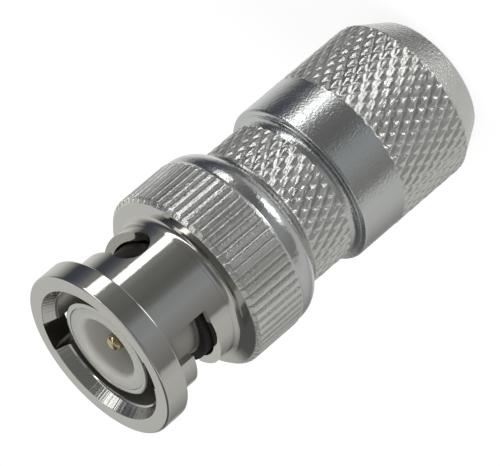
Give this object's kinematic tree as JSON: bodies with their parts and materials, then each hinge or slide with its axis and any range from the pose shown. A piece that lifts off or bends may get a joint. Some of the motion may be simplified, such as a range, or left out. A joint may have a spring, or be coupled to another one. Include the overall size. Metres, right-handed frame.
{
  "type": "bnc connector plug",
  "caption": "Male bayonet coaxial plug with a slotted coupling nut, knurled body and knurled cable clamp nut.",
  "frame": {"origin": "centre of the clamp nut's rear face, on the surface that the plug stands on", "axes": "+Z along the plug's axis towards the mating face; the bayonet entry channels of the coupling nut lie on +X and -X"},
  "size_m": [0.0144, 0.0144, 0.0334],
  "materials": {
    "nickel_plate": "nickel plated brass, polished where plain and bright on the knurls",
    "ptfe": "satin white PTFE, turned",
    "gold_plate": "gold plated brass",
    "silicone_rubber": "matt dark red silicone rubber",
    "phosphor_bronze": "bare phosphor bronze strip"
  },
  "bodies": {
    "plug_body": {"body": "nickel_plate", "front_insulator": "ptfe", "rear_insulator": "ptfe", "centre_contact": "gold_plate", "interface_gasket": "silicone_rubber", "retaining_ring": "phosphor_bronze", "flat_washer": "phosphor_bronze", "wave_washer_1": "phosphor_bronze", "wave_washer_2": "phosphor_bronze"},
    "spring_seat": {"thrust_washer": "phosphor_bronze"},
    "coupling": {"coupling_nut": "nickel_plate"},
    "cable_stack": {"braid_clamp": "nickel_plate", "cable_gasket": "silicone_rubber", "gland_washer": "nickel_plate"},
    "clamp": {"clamp_nut": "nickel_plate"}
  },
  "joints": [
    {"name": "coupling_draw", "type": "slide", "parent": "plug_body", "child": "spring_seat", "axis": [0, 0, 1], "range_m": [0, 0.0005], "stiffness_N_per_m": 8000, "springref_m": -0.0005, "deforming": ["wave_washer_1", "wave_washer_2"]},
    {"name": "coupling_turn", "type": "hinge", "parent": "spring_seat", "child": "coupling", "pos_m": [0, 0, 0.0229], "axis": [0, 0, 1], "continuous": true},
    {"name": "clamp_travel", "type": "slide", "parent": "plug_body", "child": "cable_stack", "axis": [0, 0, -1], "range_m": [0, 0.002]},
    {"name": "clamp_turn", "type": "hinge", "parent": "cable_stack", "child": "clamp", "pos_m": [0, 0, 0.0119], "axis": [0, 0, -1], "range_deg": [0, 900]}
  ],
  "couplings": [
    {"joint": "clamp_travel", "follows": "clamp_turn", "m_per_rad": 0.00012732}
  ]
}
